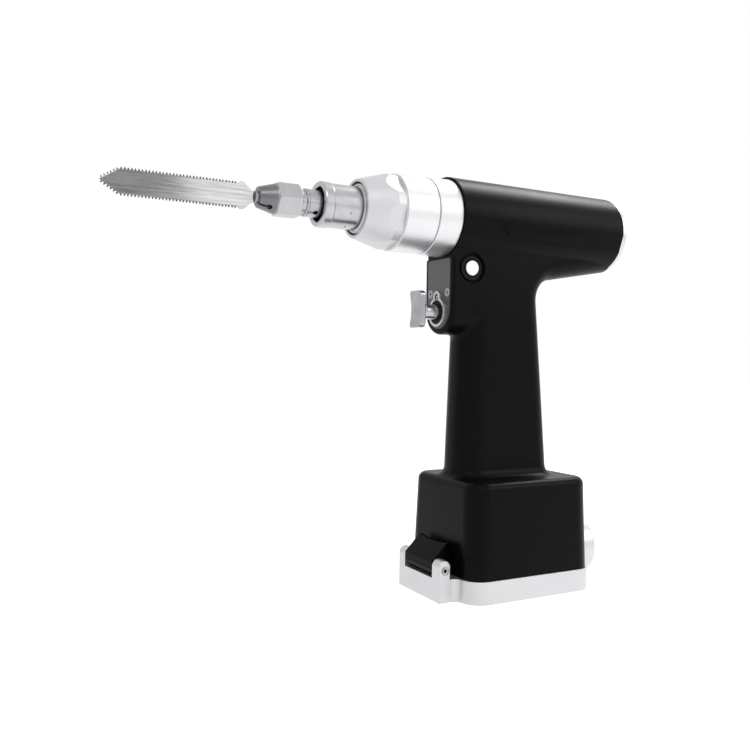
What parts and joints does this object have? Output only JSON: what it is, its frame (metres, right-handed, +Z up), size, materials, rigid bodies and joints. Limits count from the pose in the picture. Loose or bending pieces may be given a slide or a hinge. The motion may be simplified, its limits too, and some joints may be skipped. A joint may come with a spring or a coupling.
{
  "type": "surgical reciprocating saw",
  "caption": "Cordless surgical saw with a pistol grip, battery box, geared reciprocating plunger and a collet chuck holding a double-edged blade.",
  "frame": {"origin": "centre of the battery lid's underside, the face the tool stands on", "axes": "+X forward along the barrel to the blade's tip, +Y to the tool's left side, +Z up along the grip"},
  "size_m": [0.293, 0.0678, 0.2249],
  "materials": {
    "casing_black": "black powder coat with a fine matte texture",
    "cap_silver": "satin anodised",
    "lid_silver": "fine satin anodised",
    "knob_silver": "fine satin anodised",
    "nose_silver": "satin anodised",
    "satin_steel": "satin",
    "chuck_steel": "satin",
    "blade_steel": "ground",
    "plate_grey": "matte anodised",
    "trigger_steel": "satin",
    "screw_steel": "bright",
    "button_steel": "satin",
    "bushing_black": "matte black",
    "rubber_black": "matte",
    "spring_steel": "bright",
    "bearing_steel": "bright",
    "bush_bronze": "plain bearing bronze",
    "gear_steel": "hardened",
    "motor_steel": "plated",
    "stator_iron": "laminated",
    "coil_copper": "enamelled copper",
    "magnet_grey": "sintered",
    "board_green": "lacquered",
    "plastic_dark": "matte",
    "battery_grey": "matte",
    "cell_blue": "shrink sleeve",
    "contact_brass": "bright",
    "lever_black": "satin black"
  },
  "bodies": {
    "casing": {"body_casing": "casing_black", "rear_cap": "cap_silver", "rear_cap_seal": "rubber_black", "motor_can": "motor_steel", "motor_end_bell": "motor_steel", "motor_front_bearing": "bearing_steel", "motor_rear_bearing": "bearing_steel", "motor_stator": "stator_iron", "motor_coils": "coil_copper", "driver_board": "board_green", "crank_bearing": "bearing_steel", "gear_frame": "motor_steel", "plunger_rear_bush": "bush_bronze", "plunger_front_bush": "bush_bronze", "plunger_seal": "rubber_black", "nose_ring": "nose_silver", "gear_housing": "nose_silver", "front_collar": "nose_silver", "collar_seal": "rubber_black", "nose_sleeve": "satin_steel", "trigger_plate": "plate_grey", "trigger_plate_screws": "screw_steel", "trigger_guide_pin": "screw_steel", "trigger_bush": "bush_bronze", "trigger_seal": "rubber_black", "trigger_spring": "spring_steel", "trigger_sensor": "plastic_dark", "button_bushing": "bushing_black", "button_spring": "spring_steel", "control_board": "board_green", "contact_block": "plastic_dark", "contact_pins": "contact_brass", "battery_case": "battery_grey", "battery_terminals": "contact_brass", "battery_cells": "cell_blue"},
    "rotor": {"motor_shaft": "bearing_steel", "rotor_magnet": "magnet_grey", "drive_pinion": "gear_steel"},
    "crank": {"crank_gear": "gear_steel", "crank_pin": "bearing_steel", "crank_roller": "bearing_steel"},
    "plunger": {"plunger_shaft": "satin_steel", "scotch_yoke": "gear_steel", "yoke_pin": "bearing_steel", "chuck_nut": "chuck_steel", "collet": "chuck_steel", "saw_blade": "blade_steel"},
    "trigger": {"trigger_rod": "trigger_steel", "trigger_pad": "trigger_steel", "trigger_magnet": "magnet_grey"},
    "button": {"side_button": "button_steel"},
    "lid": {"battery_lid": "lid_silver", "lid_seal": "rubber_black", "battery_cushion": "rubber_black", "latch_pin": "satin_steel", "latch_spring": "spring_steel"},
    "latch": {"latch_lever": "lever_black"},
    "knob": {"lid_knob": "knob_silver", "knob_shaft": "bearing_steel", "knob_cam": "bearing_steel"}
  },
  "joints": [
    {"name": "rotor_spin", "type": "hinge", "parent": "casing", "child": "rotor", "pos_m": [0, 0, 0.2027], "axis": [1, 0, 0], "range_deg": [0, 450]},
    {"name": "crank_spin", "type": "hinge", "parent": "casing", "child": "crank", "pos_m": [0.046, 0, 0.2027], "axis": [0, 0, 1], "range_deg": [-180, 0]},
    {"name": "plunger_slide", "type": "slide", "parent": "casing", "child": "plunger", "axis": [1, 0, 0], "range_m": [-0.004, 0]},
    {"name": "trigger_slide", "type": "slide", "parent": "casing", "child": "trigger", "axis": [1, 0, 0], "range_m": [-0.0055, 0], "stiffness_N_per_m": 500, "springref_m": 0.004, "deforming": ["trigger_spring"]},
    {"name": "button_slide", "type": "slide", "parent": "casing", "child": "button", "axis": [0, 1, 0], "range_m": [-0.0015, 0], "stiffness_N_per_m": 700, "springref_m": 0.0012, "deforming": ["button_spring"]},
    {"name": "lid_slide", "type": "slide", "parent": "casing", "child": "lid", "axis": [0, 0, 1], "range_m": [-0.03, 0]},
    {"name": "latch_hinge", "type": "hinge", "parent": "lid", "child": "latch", "pos_m": [0.0431, 0, 0.0168], "axis": [0, 1, 0], "range_deg": [0, 60], "stiffness_Nm_per_rad": 0.05, "springref_deg": -17.19},
    {"name": "knob_turn", "type": "hinge", "parent": "casing", "child": "knob", "pos_m": [-0.0565, 0, 0.0175], "axis": [1, 0, 0], "range_deg": [0, 90]}
  ],
  "couplings": [
    {"joint": "crank_spin", "follows": "plunger_slide", "rad_per_m": 785.4},
    {"joint": "rotor_spin", "follows": "plunger_slide", "rad_per_m": -1963.5}
  ]
}
